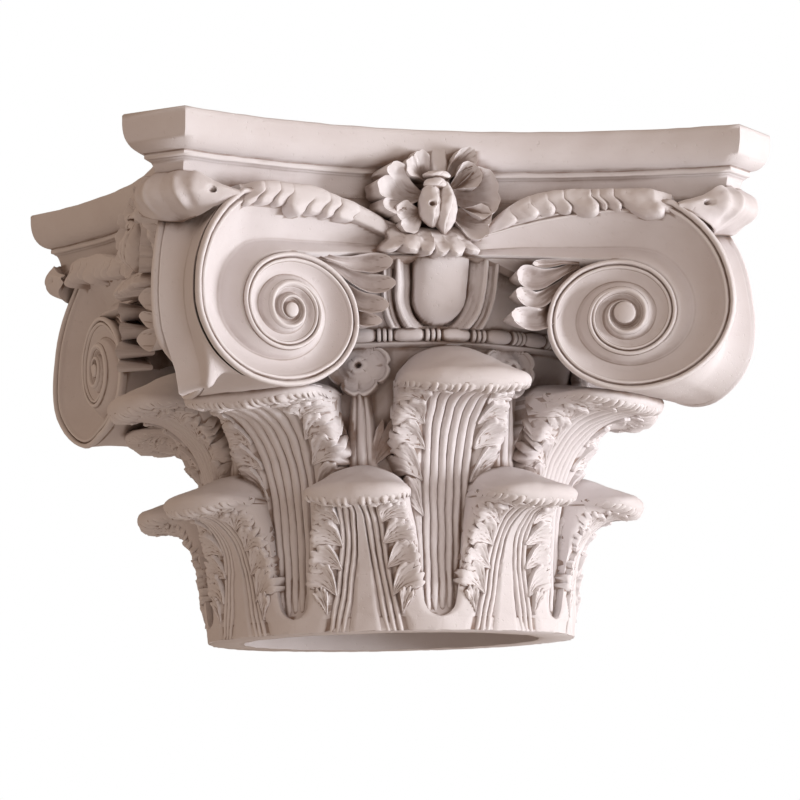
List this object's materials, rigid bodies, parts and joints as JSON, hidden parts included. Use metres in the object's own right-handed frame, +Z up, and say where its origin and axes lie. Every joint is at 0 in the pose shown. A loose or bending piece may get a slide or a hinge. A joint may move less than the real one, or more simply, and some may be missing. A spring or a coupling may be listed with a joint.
{
  "type": "column capital",
  "caption": "Cast plaster column capital of the Composite order, with corner volutes, an egg ring and two rows of acanthus leaves under a hollow-sided abacus.",
  "frame": {"origin": "centre of the underside, on the column's axis", "axes": "+Z up along the column's axis; -Y is the front side; the sides of the abacus face -Y, +X, +Y and -X"},
  "size_m": [0.4382, 0.4382, 0.3251],
  "materials": {
    "plaster": "matt, bare cast plaster"
  },
  "bodies": {
    "root": {"capital": "plaster"}
  },
  "joints": []
}
